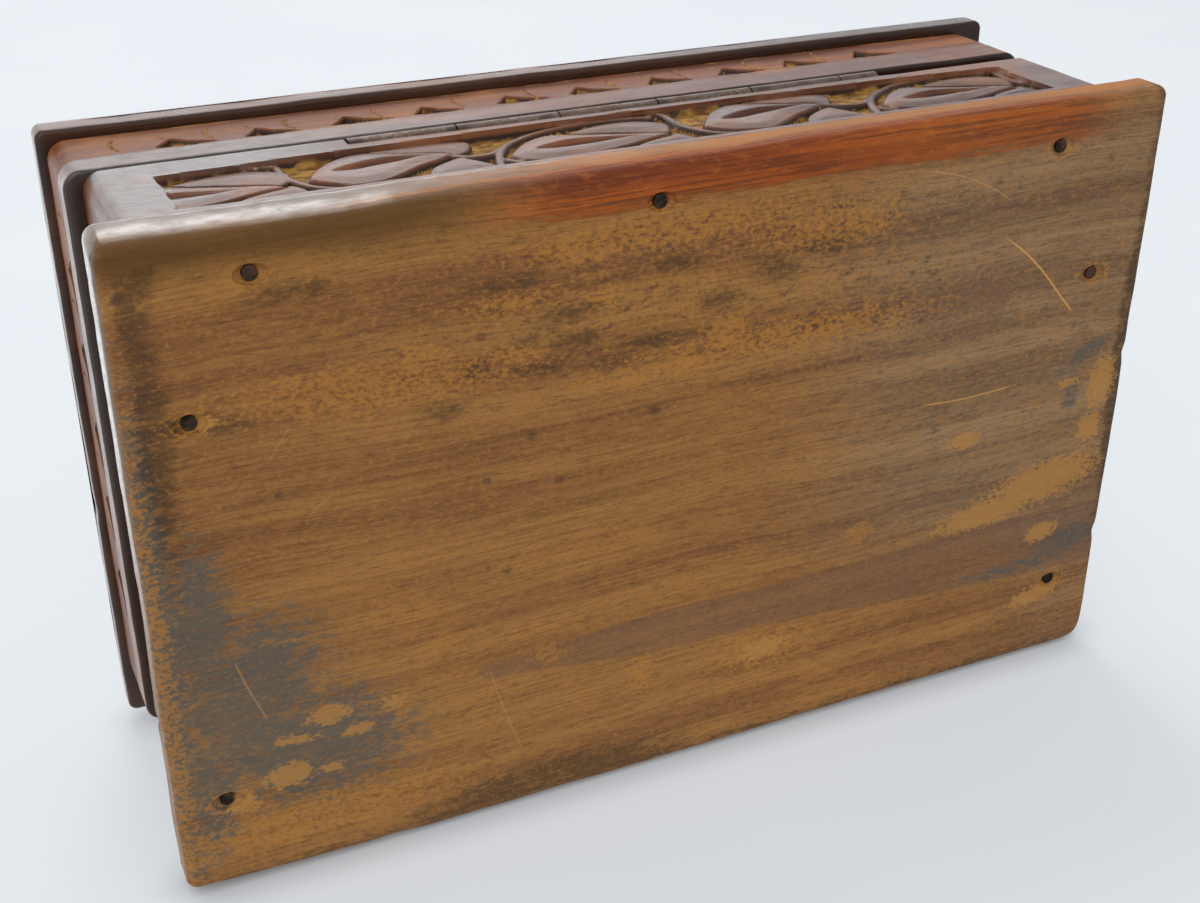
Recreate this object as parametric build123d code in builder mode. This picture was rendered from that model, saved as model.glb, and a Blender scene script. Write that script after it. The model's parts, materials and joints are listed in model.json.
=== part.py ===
from build123d import *
import math
import os

# A carved hardwood keepsake box. Its body of four mitred walls stands on a bottom board. Its lid, four
# mitred rim strips under a lid board, turns on a continuous hinge let into the top edge of the back wall.
# Millimetres. +Z is up, the front is -Y and the hinge is at the back. The origin is on the surface the box
# stands on, under the middle of the whole box.

os.makedirs("parts", exist_ok=True)

# ---- driving dimensions ---------------------------------------------------------------------------------

# body walls
body_length = 190.4
body_depth = 114.0
wall_height = 27.5
wall_thickness = 11.0
wall_corner_radius = 3.5

# bottom board, nailed on from below a little off centre
board_thickness = 8.5
board_overhang_left = 8.2
board_overhang_right = 4.6
board_overhang_front = 12.0
board_overhang_back = 1.0
board_corner_radius = 4.0
board_edge_radius = 2.2

# lid rim: it stands past the body at the right end and behind the body's front face
seam_gap = 0.5
rim_height = 19.2
rim_thickness = 11.0
rim_overhang_left = 0.4
rim_overhang_right = 3.0
rim_inset_front = 2.0
rim_corner_radius = 2.5

# lid board
lid_thickness = 8.5
lid_overhang_left = 4.7
lid_overhang_right = 1.6
lid_overhang_front = 9.9
lid_overhang_back = 2.0
lid_corner_radius = 4.0
lid_edge_radius = 3.2

# carved panel sunk in each wall: a row of leaves, by turns a little high and a little low, on a flat ground
panel_margin_end = 10.5
panel_margin_top = 6.0
panel_margin_bottom = 2.2
panel_depth = 3.0
leaf_pitch = 36.5
leaf_length = 31.0
leaf_height = 13.5
leaf_relief = 2.4
leaf_hollow = 1.2
leaf_hollow_share = 0.55
leaf_tilt = 6.0
leaf_sway = 1.1
leaf_end_gap = 4.5

# row of chip-carved notches along each rim strip
notch_pitch = 15.8
notch_length = 10.0
notch_height = 3.6
notch_lean = 0.28
notch_depth = 2.0
notch_line_height = 8.2
notch_first_margin = 16.5
notch_last_margin = 8.0

# continuous hinge, cut from a longer strip, so its last knuckle is a short one
hinge_length = 108.5
hinge_right_inset = 44.9
knuckle_pitch = 20.0
knuckle_gap = 0.3
barrel_diameter = 3.4
barrel_proud = 0.4
barrel_drop = 1.9
pin_diameter = 1.6
pin_clearance = 0.04
hinge_plate_thickness = 0.9
hinge_plate_width = 6.4
hinge_clearance = 0.3
plate_clearance = 0.1

# countersunk pins that hold the hinge plates
plate_pin_count = 5
plate_pin_end_inset = 9.0
plate_pin_diameter = 1.3
plate_pin_head_diameter = 2.3
plate_pin_length = 6.0

# round-headed nails that hold the two boards
nail_diameter = 1.5
nail_head_diameter = 2.6
nail_head_thickness = 0.7
nail_length = 19.0
nail_point = 2.0
nail_sink = 0.5

# where each hand-driven nail goes in, from the nearest side face and from the front or back face of its ring
back_left_nail = (16.6, 8.1)
back_right_nail = (18.7, 8.2)
front_left_nail = (3.6, 6.2)
front_right_nail = (4.7, 7.8)
side_left_nail = (4.6, 35.6)
side_right_nail = (6.7, 31.5)

# the nail in the middle of the back goes in this far right of the middle, and this far from the back face
back_middle_nail = (6.0, 6.8)

# headless pins across the mitred corners
corner_pin_diameter = 1.2
corner_pin_length = 19.0
corner_pin_sink = 0.4
corner_pin_inset = 7.0
corner_pin_low_share = 0.25
corner_pin_high_share = 0.7

# radial clearance of every nail and pin in its hole
fastener_clearance = 0.02

# no board's edge is rounded further than this share of its thickness
round_share_limit = 0.45

# how far a cut runs past the outside of the piece that it opens
cut_margin = 1.0

# ---- places worked out from them ------------------------------------------------------------------------

# reach of the whole box from the middle of the body, on each side
reach_left = body_length / 2 + max(board_overhang_left, rim_overhang_left + lid_overhang_left)
reach_right = body_length / 2 + max(board_overhang_right, rim_overhang_right + lid_overhang_right)
reach_front = body_depth / 2 + max(board_overhang_front, lid_overhang_front - rim_inset_front)
reach_back = body_depth / 2 + max(board_overhang_back, lid_overhang_back)

# outer faces of the body, with the whole box centred on the origin
body_x = (reach_left - reach_right) / 2
body_y = (reach_front - reach_back) / 2
body_left = body_x - body_length / 2
body_right = body_x + body_length / 2
body_front = body_y - body_depth / 2
body_back = body_y + body_depth / 2

# outer faces of the rim, whose back is flush with the body's
rim_left = body_left - rim_overhang_left
rim_right = body_right + rim_overhang_right
rim_front = body_front + rim_inset_front
rim_back = body_back

# outer edges of the two boards
board_left = body_left - board_overhang_left
board_right = body_right + board_overhang_right
board_front = body_front - board_overhang_front
board_back = body_back + board_overhang_back
lid_left = rim_left - lid_overhang_left
lid_right = rim_right + lid_overhang_right
lid_front = rim_front - lid_overhang_front
lid_back = rim_back + lid_overhang_back

# levels
wall_bottom = board_thickness
wall_top = wall_bottom + wall_height
rim_bottom = wall_top + seam_gap
rim_top = rim_bottom + rim_height
lid_top = rim_top + lid_thickness

# hinge: the barrel hangs just below the top of the back wall, in a rebate
barrel_radius = barrel_diameter / 2
pin_radius = pin_diameter / 2
axis_y = body_back + barrel_proud - barrel_radius
axis_z = wall_top - barrel_drop
hinge_right = body_right - hinge_right_inset
hinge_left = hinge_right - hinge_length
rebate_radius = barrel_radius + hinge_clearance
rebate_inner = axis_y - rebate_radius
rebate_floor = axis_z - rebate_radius
plate_inner = rebate_inner - hinge_plate_width
plate_pin_y = (plate_inner + rebate_inner) / 2
web_half = hinge_plate_thickness / 2
plate_pin_span = hinge_length - 2 * plate_pin_end_inset
plate_pin_step = plate_pin_span / (plate_pin_count - 1)
plate_pin_places = [
    (hinge_left + plate_pin_end_inset + i * plate_pin_step, plate_pin_y) for i in range(plate_pin_count)
]

# the corners of a ring are counted front left, front right, back right, back left
SIDES = ("front", "right", "back", "left")
body_ring = (body_left, body_right, body_front, body_back)
rim_ring = (rim_left, rim_right, rim_front, rim_back)


# ---- functions for what repeats -------------------------------------------------------------------------


def nail_places(left, right, front, back):
    """Nails round a ring: three along the back, and two along each side, one of them near the front."""
    return [
        (left + back_left_nail[0], back - back_left_nail[1]),
        ((left + right) / 2 + back_middle_nail[0], back - back_middle_nail[1]),
        (right - back_right_nail[0], back - back_right_nail[1]),
        (left + front_left_nail[0], front + front_left_nail[1]),
        (right - front_right_nail[0], front + front_right_nail[1]),
        (left + side_left_nail[0], back - side_left_nail[1]),
        (right - side_right_nail[0], back - side_right_nail[1]),
    ]


def outer_face(side, left, right, front, back, bottom):
    """The plane of one side's outer face: x runs along it, y up it, and the origin is at its foot."""
    middle_x = (left + right) / 2
    middle_y = (front + back) / 2
    faces = {
        "front": ((middle_x, front, bottom), (1, 0, 0), (0, -1, 0)),
        "right": ((right, middle_y, bottom), (0, 1, 0), (1, 0, 0)),
        "back": ((middle_x, back, bottom), (-1, 0, 0), (0, 1, 0)),
        "left": ((left, middle_y, bottom), (0, -1, 0), (-1, 0, 0)),
    }
    origin, along, outward = faces[side]
    return Plane(origin=origin, x_dir=along, z_dir=outward)


def face_length(side, left, right, front, back):
    """The length of one side of a ring."""
    return right - left if side in ("front", "back") else back - front


def draw_side(side, left, right, front, back, thickness, corner_radius):
    """Sketches one mitred side of a ring, with the ring's rounded corners."""
    outer = [(left, front), (right, front), (right, back), (left, back)]
    inner = [
        (left + thickness, front + thickness),
        (right - thickness, front + thickness),
        (right - thickness, back - thickness),
        (left + thickness, back - thickness),
    ]
    here = SIDES.index(side)
    after = (here + 1) % 4
    with Locations(((left + right) / 2, (front + back) / 2)):
        RectangleRounded(right - left, back - front, corner_radius)
    with BuildLine() as mitred:
        Polyline(outer[here], outer[after], inner[after], inner[here], close=True)
    make_face(mitred.line, mode=Mode.INTERSECT)


def draw_leaf(tip_x, middle_y, share):
    """Sketches one pointed leaf whose right tip is at tip_x; share scales it about its middle."""
    middle = Vector(tip_x - leaf_length / 2, middle_y)
    along = Vector(share * leaf_length / 2, 0).rotate(Axis.Z, leaf_tilt)
    across = Vector(0, share * leaf_height / 2).rotate(Axis.Z, leaf_tilt)
    with BuildLine() as outline:
        ThreePointArc(middle - along, middle + across, middle + along)
        ThreePointArc(middle + along, middle - across, middle - along)
    make_face(outline.line)


def draw_leaves(length, share):
    """Sketches the row of leaves of a panel, the first one cut off by the panel's left end."""
    panel_length = length - 2 * panel_margin_end
    panel_height = wall_height - panel_margin_top - panel_margin_bottom
    middle_y = panel_margin_bottom + panel_height / 2
    count = math.ceil((panel_length - leaf_end_gap) / leaf_pitch)
    for i in range(count):
        sway = -leaf_sway if i % 2 == 0 else leaf_sway
        draw_leaf(panel_length / 2 - leaf_end_gap - i * leaf_pitch, middle_y + sway, share)
    with Locations((0, middle_y)):
        Rectangle(panel_length, panel_height, mode=Mode.INTERSECT)


def draw_notches(length, mirrored):
    """Sketches the row of three-cornered notches of a rim strip; mirrored turns their steep ends round."""
    count = int((length - notch_first_margin - notch_last_margin - notch_length) // notch_pitch) + 1
    way = -1 if mirrored else 1
    for i in range(count):
        start = notch_first_margin - length / 2 + i * notch_pitch
        with BuildLine() as notch:
            Polyline(
                (way * start, notch_line_height),
                (way * (start + notch_lean * notch_length), notch_line_height + notch_height),
                (way * (start + notch_length), notch_line_height),
                close=True,
            )
        make_face(notch.line)


def draw_nail(radius, head_radius, head_thickness, length, point):
    """Sketches half of a nail's section, head down at the origin and its point up."""
    with BuildLine() as section:
        Polyline(
            (0, 0),
            (head_radius, 0),
            (head_radius, head_thickness),
            (radius, head_thickness),
            (radius, length - point),
            (0, length),
            close=True,
        )
    make_face(section.line)


def draw_countersunk(radius, head_radius, length, point):
    """Sketches half of a countersunk pin's section, head down at the origin and its point up."""
    with BuildLine() as section:
        Polyline(
            (0, 0),
            (head_radius, 0),
            (radius, head_radius - radius),
            (radius, length - point),
            (0, length),
            close=True,
        )
    make_face(section.line)


def round_edges(board, radius):
    """Rounds all the edges of a board's top and underside."""
    fillet(board.faces().filter_by(Axis.Z).edges(), radius)


def drill(places, level, direction, radius, depth):
    """Cuts a round hole of this depth at each place, starting at a level and going up (1) or down (-1)."""
    with BuildSketch(Plane.XY.offset(level)) as holes:
        with Locations(*places):
            Circle(radius)
    extrude(holes.sketch, amount=direction * depth, mode=Mode.SUBTRACT)


def cut_box(x_range, y_range, z_range):
    """Cuts a box between these limits from the part being built."""
    size = [high - low for low, high in (x_range, y_range, z_range)]
    middle = [(high + low) / 2 for low, high in (x_range, y_range, z_range)]
    with Locations(tuple(middle)):
        Box(*size, mode=Mode.SUBTRACT)


def cut_corner_pins(ring, levels):
    """Cuts the holes of the pins that cross a ring's corners, from its front and back faces."""
    left, right, front, back = ring
    hole_radius = corner_pin_diameter / 2 + fastener_clearance
    hole_depth = corner_pin_sink + corner_pin_length
    for face_y, inward in ((front, 1), (back, -1)):
        with BuildSketch(Plane(origin=(0, face_y, 0), x_dir=(1, 0, 0), z_dir=(0, -1, 0))) as holes:
            for pin_x in (left + corner_pin_inset, right - corner_pin_inset):
                for level in levels:
                    with Locations((pin_x, level)):
                        Circle(hole_radius)
        extrude(holes.sketch, amount=-inward * hole_depth, mode=Mode.SUBTRACT)


def add_corner_pins(ring, levels):
    """Adds the pins that cross a ring's corners, sunk below its front and back faces."""
    left, right, front, back = ring
    for face_y, inward in ((front, 1), (back, -1)):
        start_y = face_y + inward * corner_pin_sink
        with BuildSketch(Plane(origin=(0, start_y, 0), x_dir=(1, 0, 0), z_dir=(0, -1, 0))) as heads:
            for pin_x in (left + corner_pin_inset, right - corner_pin_inset):
                for level in levels:
                    with Locations((pin_x, level)):
                        Circle(corner_pin_diameter / 2)
        extrude(heads.sketch, amount=-inward * corner_pin_length)


def cut_rebate():
    """Cuts the rebate for the hinge barrel along the back edge; it runs out through the left corner."""
    cut_box(
        (body_left - cut_margin, hinge_right + hinge_clearance),
        (rebate_inner, body_back + cut_margin),
        (rebate_floor, rim_bottom),
    )


def finish(builder, name):
    """Labels a finished piece and writes it."""
    builder.part.label = name
    export_step(builder.part, f"parts/{name}.step")


wall_pin_levels = [
    wall_bottom + corner_pin_low_share * wall_height,
    wall_bottom + corner_pin_high_share * wall_height,
]
rim_pin_levels = [rim_bottom + corner_pin_low_share * rim_height]
bottom_nail_places = nail_places(*body_ring)
lid_nail_places = nail_places(*rim_ring)
nail_hole_radius = nail_diameter / 2 + fastener_clearance
nail_head_radius = nail_head_diameter / 2 + fastener_clearance
plate_pin_hole_radius = plate_pin_diameter / 2 + fastener_clearance

# ---- bottom board: one plank with worn edges, drilled for its nails --------------------------------------

with BuildPart() as bottom_board:
    with BuildSketch():
        with Locations(((board_left + board_right) / 2, (board_front + board_back) / 2)):
            RectangleRounded(board_right - board_left, board_back - board_front, board_corner_radius)
    extrude(amount=board_thickness)
    round_edges(bottom_board, min(board_edge_radius, round_share_limit * board_thickness))
    drill(bottom_nail_places, 0, 1, nail_head_radius, nail_sink + nail_head_thickness)
    drill(bottom_nail_places, 0, 1, nail_hole_radius, board_thickness)
finish(bottom_board, "bottom_board")

# ---- body walls: mitred at the corners, each with a sunk carved panel ------------------------------------

for side in SIDES:
    wall_face = outer_face(side, *body_ring, wall_bottom)
    wall_length = face_length(side, *body_ring)
    with BuildPart() as wall:
        with BuildSketch(Plane.XY.offset(wall_bottom)):
            draw_side(side, *body_ring, wall_thickness, wall_corner_radius)
        extrude(amount=wall_height)
        with BuildSketch(wall_face):
            with Locations((0, panel_margin_bottom)):
                Rectangle(
                    wall_length - 2 * panel_margin_end,
                    wall_height - panel_margin_top - panel_margin_bottom,
                    align=(Align.CENTER, Align.MIN),
                )
        extrude(amount=-panel_depth, mode=Mode.SUBTRACT)
        with BuildSketch(wall_face.offset(-panel_depth)):
            draw_leaves(wall_length, 1)
        extrude(amount=leaf_relief)
        with BuildSketch(wall_face.offset(leaf_relief - panel_depth)):
            draw_leaves(wall_length, leaf_hollow_share)
        extrude(amount=-leaf_hollow, mode=Mode.SUBTRACT)
        drill(bottom_nail_places, wall_bottom, 1, nail_hole_radius, nail_length + nail_sink - board_thickness)
        cut_corner_pins(body_ring, wall_pin_levels)
        if side in ("back", "left"):
            cut_rebate()
        if side == "back":
            cut_box(
                (hinge_left - plate_clearance, hinge_right + plate_clearance),
                (plate_inner - plate_clearance, rebate_inner),
                (wall_top - hinge_plate_thickness, wall_top),
            )
            drill(plate_pin_places, wall_top, -1, plate_pin_hole_radius, plate_pin_length)
    finish(wall, f"{side}_wall")

# ---- lid rim: four mitred strips, each with its row of notches -------------------------------------------

for side in SIDES:
    strip_face = outer_face(side, *rim_ring, rim_bottom)
    strip_length = face_length(side, *rim_ring)
    with BuildPart() as strip:
        with BuildSketch(Plane.XY.offset(rim_bottom)):
            draw_side(side, *rim_ring, rim_thickness, rim_corner_radius)
        extrude(amount=rim_height)
        with BuildSketch(strip_face):
            draw_notches(strip_length, side == "right")
        extrude(amount=-notch_depth, mode=Mode.SUBTRACT)
        drill(lid_nail_places, rim_top, -1, nail_hole_radius, nail_length + nail_sink - lid_thickness)
        cut_corner_pins(rim_ring, rim_pin_levels)
        if side == "back":
            cut_box(
                (hinge_left - plate_clearance, hinge_right + plate_clearance),
                (plate_inner - plate_clearance, axis_y + web_half + plate_clearance),
                (rim_bottom, rim_bottom + hinge_plate_thickness),
            )
            drill(plate_pin_places, rim_bottom, 1, plate_pin_hole_radius, plate_pin_length)
    finish(strip, f"rim_{side}")

# ---- lid board: one plank with rounder edges than the bottom board's -------------------------------------

with BuildPart() as lid_board:
    with BuildSketch(Plane.XY.offset(rim_top)):
        with Locations(((lid_left + lid_right) / 2, (lid_front + lid_back) / 2)):
            RectangleRounded(lid_right - lid_left, lid_back - lid_front, lid_corner_radius)
    extrude(amount=lid_thickness)
    round_edges(lid_board, min(lid_edge_radius, round_share_limit * lid_thickness))
    drill(lid_nail_places, lid_top, -1, nail_head_radius, nail_sink + nail_head_thickness)
    drill(lid_nail_places, lid_top, -1, nail_hole_radius, lid_thickness)
finish(lid_board, "lid_board")

# ---- hinge: two folded steel plates whose knuckles take turns along one pin -------------------------------

knuckle_count = math.ceil(hinge_length / knuckle_pitch)
knuckles = []
for i in range(knuckle_count):
    knuckle_start = hinge_right - i * knuckle_pitch
    knuckle_end = max(knuckle_start - knuckle_pitch, hinge_left)
    trim_start = 0 if i == 0 else knuckle_gap / 2
    trim_end = 0 if knuckle_end == hinge_left else knuckle_gap / 2
    knuckles.append((knuckle_start - trim_start, knuckle_end + trim_end))

with BuildPart() as hinge_body_leaf:
    with BuildSketch(Plane.YZ.offset(hinge_left)):
        with Locations((rebate_inner, wall_top)):
            Rectangle(hinge_plate_width, hinge_plate_thickness, align=(Align.MAX, Align.MAX))
    extrude(amount=hinge_length)
    for high_x, low_x in knuckles[::2]:
        with BuildSketch(Plane.YZ.offset(low_x)):
            with Locations((axis_y, axis_z)):
                Circle(barrel_radius)
            with Locations((axis_y, wall_top)):
                Rectangle(axis_y - plate_inner, hinge_plate_thickness, align=(Align.MAX, Align.MAX))
            with Locations((axis_y, axis_z)):
                Circle(pin_radius + pin_clearance, mode=Mode.SUBTRACT)
        extrude(amount=high_x - low_x)
    with BuildSketch(Plane.XY.offset(wall_top)):
        with Locations(*plate_pin_places):
            Circle(plate_pin_hole_radius)
    extrude(amount=-hinge_plate_thickness, mode=Mode.SUBTRACT)
    with Locations(*[(x, y, wall_top) for x, y in plate_pin_places]):
        Cone(
            plate_pin_hole_radius,
            plate_pin_head_diameter / 2 + fastener_clearance,
            (plate_pin_head_diameter - plate_pin_diameter) / 2,
            align=(Align.CENTER, Align.CENTER, Align.MAX),
            mode=Mode.SUBTRACT,
        )
finish(hinge_body_leaf, "hinge_body_leaf")

with BuildPart() as hinge_lid_leaf:
    with BuildSketch(Plane.YZ.offset(hinge_left)):
        with Locations((axis_y + web_half, rim_bottom)):
            Rectangle(
                axis_y + web_half - plate_inner, hinge_plate_thickness, align=(Align.MAX, Align.MIN)
            )
    extrude(amount=hinge_length)
    for high_x, low_x in knuckles[1::2]:
        with BuildSketch(Plane.YZ.offset(low_x)):
            with Locations((axis_y, axis_z)):
                Circle(barrel_radius)
                Rectangle(
                    hinge_plate_thickness,
                    rim_bottom + hinge_plate_thickness - axis_z,
                    align=(Align.CENTER, Align.MIN),
                )
                Circle(pin_radius + pin_clearance, mode=Mode.SUBTRACT)
        extrude(amount=high_x - low_x)
    with BuildSketch(Plane.XY.offset(rim_bottom)):
        with Locations(*plate_pin_places):
            Circle(plate_pin_hole_radius)
    extrude(amount=hinge_plate_thickness, mode=Mode.SUBTRACT)
    with Locations(*[(x, y, rim_bottom) for x, y in plate_pin_places]):
        Cone(
            plate_pin_head_diameter / 2 + fastener_clearance,
            plate_pin_hole_radius,
            (plate_pin_head_diameter - plate_pin_diameter) / 2,
            align=(Align.CENTER, Align.CENTER, Align.MIN),
            mode=Mode.SUBTRACT,
        )
finish(hinge_lid_leaf, "hinge_lid_leaf")

with BuildPart() as hinge_pin:
    with BuildSketch(Plane.YZ.offset(hinge_left)):
        with Locations((axis_y, axis_z)):
            Circle(pin_radius)
    extrude(amount=hinge_length)
finish(hinge_pin, "hinge_pin")

# ---- fasteners -------------------------------------------------------------------------------------------

plate_pin_radius = plate_pin_diameter / 2
plate_pin_head_radius = plate_pin_head_diameter / 2

with BuildPart() as plate_pin:
    with BuildSketch(Plane.XZ):
        draw_countersunk(plate_pin_radius, plate_pin_head_radius, plate_pin_length, plate_pin_diameter)
    revolve(axis=Axis.Z)

with BuildPart() as hinge_body_pins:
    with Locations(*[Location((x, y, wall_top), (180, 0, 0)) for x, y in plate_pin_places]):
        add(plate_pin.part)
finish(hinge_body_pins, "hinge_body_pins")

with BuildPart() as hinge_lid_pins:
    with Locations(*[(x, y, rim_bottom) for x, y in plate_pin_places]):
        add(plate_pin.part)
finish(hinge_lid_pins, "hinge_lid_pins")

with BuildPart() as nail:
    with BuildSketch(Plane.XZ):
        draw_nail(nail_diameter / 2, nail_head_diameter / 2, nail_head_thickness, nail_length, nail_point)
    revolve(axis=Axis.Z)

with BuildPart() as bottom_nails:
    with Locations(*[(x, y, nail_sink) for x, y in bottom_nail_places]):
        add(nail.part)
finish(bottom_nails, "bottom_nails")

with BuildPart() as lid_nails:
    with Locations(*[Location((x, y, lid_top - nail_sink), (180, 0, 0)) for x, y in lid_nail_places]):
        add(nail.part)
finish(lid_nails, "lid_nails")

with BuildPart() as wall_pins:
    add_corner_pins(body_ring, wall_pin_levels)
finish(wall_pins, "wall_pins")

with BuildPart() as rim_pins:
    add_corner_pins(rim_ring, rim_pin_levels)
finish(rim_pins, "rim_pins")
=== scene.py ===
import json
import math

import bpy
import numpy as np
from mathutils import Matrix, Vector


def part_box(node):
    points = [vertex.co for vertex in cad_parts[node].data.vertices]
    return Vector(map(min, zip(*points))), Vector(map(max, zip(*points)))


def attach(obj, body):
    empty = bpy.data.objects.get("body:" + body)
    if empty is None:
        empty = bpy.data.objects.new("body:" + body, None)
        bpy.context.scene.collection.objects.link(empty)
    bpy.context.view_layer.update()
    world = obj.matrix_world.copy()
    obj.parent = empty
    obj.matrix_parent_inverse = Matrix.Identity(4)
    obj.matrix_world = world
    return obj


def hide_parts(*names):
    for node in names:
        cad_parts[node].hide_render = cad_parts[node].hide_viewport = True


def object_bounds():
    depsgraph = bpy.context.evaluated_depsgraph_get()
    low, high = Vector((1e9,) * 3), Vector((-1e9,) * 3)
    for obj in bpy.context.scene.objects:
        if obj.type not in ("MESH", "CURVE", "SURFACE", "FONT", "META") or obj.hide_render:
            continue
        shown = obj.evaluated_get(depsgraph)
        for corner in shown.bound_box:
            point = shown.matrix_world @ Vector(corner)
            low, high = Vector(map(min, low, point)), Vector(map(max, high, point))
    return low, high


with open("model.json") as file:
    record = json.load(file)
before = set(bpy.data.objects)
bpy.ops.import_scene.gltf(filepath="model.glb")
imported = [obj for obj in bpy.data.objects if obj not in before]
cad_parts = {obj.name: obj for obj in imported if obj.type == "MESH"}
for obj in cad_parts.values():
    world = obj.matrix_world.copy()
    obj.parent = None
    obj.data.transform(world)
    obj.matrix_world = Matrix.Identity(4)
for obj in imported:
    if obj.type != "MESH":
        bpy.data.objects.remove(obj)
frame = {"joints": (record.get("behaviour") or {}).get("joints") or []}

cad_low, cad_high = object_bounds()

# ---- camera ----
# A normal lens close below the box, which it sees standing on its front edge: its underside faces the camera,
# its back is uppermost, and the camera is rolled to suit.

camera_place = (0.12619, 0.14486, -0.23203)
camera_turn = (152.185, 24.722, 179.992)
bpy.ops.object.camera_add(location=camera_place, rotation=[math.radians(angle) for angle in camera_turn])
camera = bpy.context.object
camera.data.lens = 48.33
camera.data.sensor_width = 36
bpy.context.scene.camera = camera

# ---- table and shelf ----
# White painted tops, plain and matt. The box stands with its front edge on the upright one, as the camera
# sees it; the level one is under it when it is seen the right way up. Each shows on its near side alone.


def linear(hex_colour):
    """A colour written in sRGB hex as the linear values that Blender's sockets take."""
    channels = [int(hex_colour[i : i + 2], 16) / 255 for i in (1, 3, 5)]
    return (*[c / 12.92 if c <= 0.04045 else ((c + 0.055) / 1.055) ** 2.4 for c in channels], 1)


def with_nodes(owner):
    """The same material or world, with an empty node tree to fill."""
    owner.use_nodes = True
    owner.node_tree.nodes.clear()
    return owner


def add_node(owner, kind, inputs=(), **settings):
    """Adds a shader node to a material or world, sets it up, and fills its inputs, given in order or by name.

    An input takes a value, a hex colour, a socket that feeds it, or a node, whose first output then feeds it.
    A MapRange node's are what it maps, the range that it maps from and the range that it maps to."""
    node = owner.node_tree.nodes.new("ShaderNode" + kind)
    for name, value in settings.items():
        setattr(node, name, value)
    for name, value in inputs.items() if isinstance(inputs, dict) else enumerate(inputs):
        if isinstance(value, bpy.types.Node):
            value = value.outputs[0]
        if isinstance(value, bpy.types.NodeSocket):
            owner.node_tree.links.new(value, node.inputs[name])
        else:
            node.inputs[name].default_value = linear(value) if isinstance(value, str) else value
    return node


# White table paint: flat and soft, faintly clouded, and so even in tone that only a soft shadow and the dark
# line where the box touches it show.
top_width = 12
top_gap = 0.0003
touch_reach = 0.009
even_share = 0.55
# Each top's place and turn, its paint's pale and dull tones, and how bright the even share of the paint is.
tops = {
    "table": ((0, cad_low.y - top_gap, 0), (-math.pi / 2, 0, 0), "#f4f6f8", "#e6eaee", 0.88),
    "shelf": ((0, 0, cad_low.z - top_gap), (0, 0, 0), "#d9dcdf", "#ced2d6", 0.80),
}
for name, (place, turn, pale, dull, even) in tops.items():
    paint = with_nodes(bpy.data.materials.new(f"white_{name}_paint"))
    spot = add_node(paint, "TexCoord").outputs["Object"]
    cloud = add_node(paint, "TexNoise", {"Vector": spot, "Scale": 9})
    tone = add_node(paint, "Mix", {0: cloud, 6: pale, 7: dull}, data_type="RGBA").outputs[2]
    lit = add_node(paint, "BsdfDiffuse", {"Color": tone})
    touch = add_node(paint, "AmbientOcclusion", {"Distance": touch_reach}, samples=8).outputs["AO"]
    shade = add_node(paint, "MapRange", (touch, 0.2, 0.95, 0.2 * even, even))
    glow = add_node(paint, "Emission", {"Color": "#eff4f9", "Strength": shade})
    coat = add_node(paint, "MixShader", (even_share, lit, glow))
    clear = add_node(paint, "BsdfTransparent")
    side = add_node(paint, "NewGeometry").outputs["Backfacing"]
    near_side = add_node(paint, "MixShader", (side, coat, clear))
    add_node(paint, "OutputMaterial", {"Surface": near_side})
    bpy.ops.mesh.primitive_plane_add(size=top_width, location=place, rotation=turn)
    top = bpy.context.object
    top.name = name
    top.data.materials.append(paint)
    top.visible_shadow = False
    top.visible_diffuse = False
    top.visible_glossy = False

# ---- light ----
# A white room, a little darker to the left and bright overhead, with three soft lamps. Two above and behind
# the box lay a sheen along its back edge, and one below it keeps the underside from going flat.

room = with_nodes(bpy.data.worlds.new("white_room"))
bpy.context.scene.world = room
# How bright the room itself looks to the camera.
backdrop = 0.9
way = add_node(room, "TexCoord").outputs["Generated"]
way = add_node(room, "SeparateXYZ", {0: way})
# Along each axis, between which directions the room's brightness changes, and from what to what.
fades = []
for axis, low, high, start, end in (("X", -1, 0.4, 0.5, 0.75), ("Z", 0.5, 0.95, 0, 1.1)):
    fade = (way.outputs[axis], low, high, start, end)
    fades.append(add_node(room, "MapRange", fade, interpolation_type="SMOOTHSTEP"))
strength = add_node(room, "Math", fades, operation="ADD")
from_camera = add_node(room, "LightPath").outputs["Is Camera Ray"]
strength = add_node(room, "Mix", {0: from_camera, 2: strength, 3: backdrop})
glow = add_node(room, "Background", {"Color": "#f3f7fb", "Strength": strength})
add_node(room, "OutputWorld", {"Surface": glow})

# Each lamp's place, from which it points at the box, its width in metres and its power in watts.
lamps = {
    "window_lamp": ((-0.24, 0.45, 1.26), 0.9, 1.0),
    "back_lamp": ((-0.05, 1.10, 0.70), 0.45, 4.5),
    "fill_lamp": ((0.5, 0.9, -0.9), 0.9, 5.0),
}
for name, (place, width, power) in lamps.items():
    aim = Vector(place).to_track_quat("Z", "Y").to_euler()
    bpy.ops.object.light_add(type="AREA", location=place, rotation=aim)
    lamp = bpy.context.object
    lamp.name = name
    lamp.data.size = width
    lamp.data.energy = power

bpy.context.scene.view_settings.view_transform = "Standard"

# ---- bottom board ----
# One sheesham board, wider than the walls all round, with rounded edges that handling has made wavy. Its
# underside is bare but for the varnish that ran over from the back edge, and it is stained and rubbed. Seven
# nails come through it, each in a bruised pit.

MM = 0.001
# Sizes from here on are in millimetres, but merge_gap is in metres. A crease is a pair of rows of points,
# each this far from the place where the face steps.
crease = 0.01
edge_turns = 5
merge_gap = 0.004 * MM
wear_width = 7
pit_size = (2.9, 1.8, 1.2)


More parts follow.
